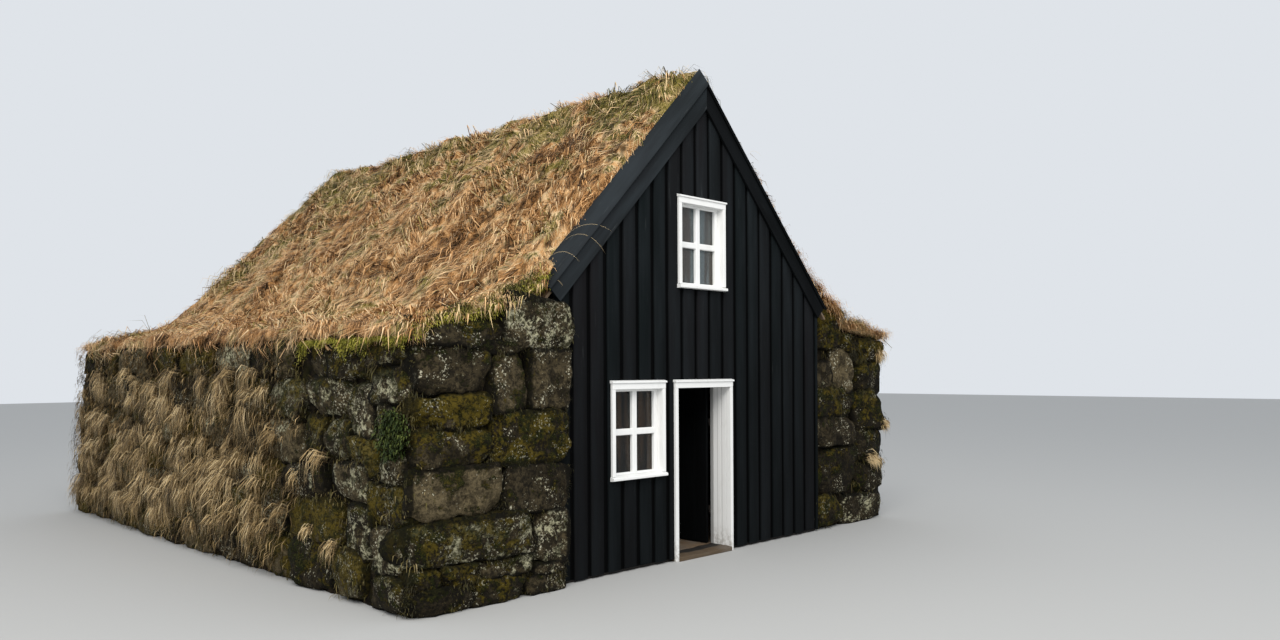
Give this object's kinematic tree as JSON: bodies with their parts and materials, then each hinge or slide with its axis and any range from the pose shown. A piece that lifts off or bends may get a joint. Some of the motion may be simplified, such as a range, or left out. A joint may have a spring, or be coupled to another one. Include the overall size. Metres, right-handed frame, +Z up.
{
  "type": "turf house",
  "caption": "Turf-roofed house with boulder walls, black boarded gable, white windows and an inward-opening plank door.",
  "frame": {"origin": "middle of the house's footprint at the level floor it stands on", "axes": "+X along the front gable towards the party wall, +Y from the front gable to the rear, +Z up"},
  "size_m": [7.04, 8.6, 4.9642],
  "materials": {
    "stone": "rough lichened basalt with moss",
    "turf": "dry grass over turf",
    "roof_boarding": "aged sawn boards",
    "frame_timber": "aged sawn timber",
    "floor_boards": "worn planed boards",
    "black_boards": "black tarred and painted boards",
    "white_paint": "white gloss paint, slightly worn",
    "threshold_wood": "worn bare plank",
    "hinge_iron": "black forged iron",
    "window_glass": "old sheet glass"
  },
  "bodies": {
    "house": {"left_wall": "stone", "right_wall": "stone", "rear_wall": "stone", "left_turf": "turf", "right_turf": "turf", "rear_turf": "turf", "left_sheathing": "roof_boarding", "right_sheathing": "roof_boarding", "left_rafters": "frame_timber", "right_rafters": "frame_timber", "ridge_beam": "frame_timber", "collar_ties": "frame_timber", "left_wall_plate": "frame_timber", "right_wall_plate": "frame_timber", "left_posts": "frame_timber", "right_posts": "frame_timber", "loft_joists": "frame_timber", "gable_frame_left": "frame_timber", "gable_frame_right": "frame_timber", "gable_frame_upper": "frame_timber", "loft_floor": "floor_boards", "ground_floor": "floor_boards", "gable_boards_left": "black_boards", "gable_boards_right": "black_boards", "gable_boards_upper": "black_boards", "left_fascia": "black_boards", "right_fascia": "black_boards", "left_verge_board": "black_boards", "right_verge_board": "black_boards", "door_jamb_left": "white_paint", "door_jamb_right": "white_paint", "door_head_board": "white_paint", "door_casing_left": "white_paint", "door_casing_right": "white_paint", "door_head_casing": "white_paint", "lower_window_casing": "white_paint", "lower_window_sash": "white_paint", "upper_window_casing": "white_paint", "upper_window_sash": "white_paint", "threshold": "threshold_wood", "door_pintles": "hinge_iron", "lower_window_glass": "window_glass", "upper_window_glass": "window_glass"},
    "door": {"door_leaf": "black_boards", "door_straps": "hinge_iron"}
  },
  "joints": [
    {"name": "door_hinge", "type": "hinge", "parent": "house", "child": "door", "pos_m": [0.352, -3.933, 0.88], "axis": [0, 0, 1], "range_deg": [-10, 90]}
  ]
}
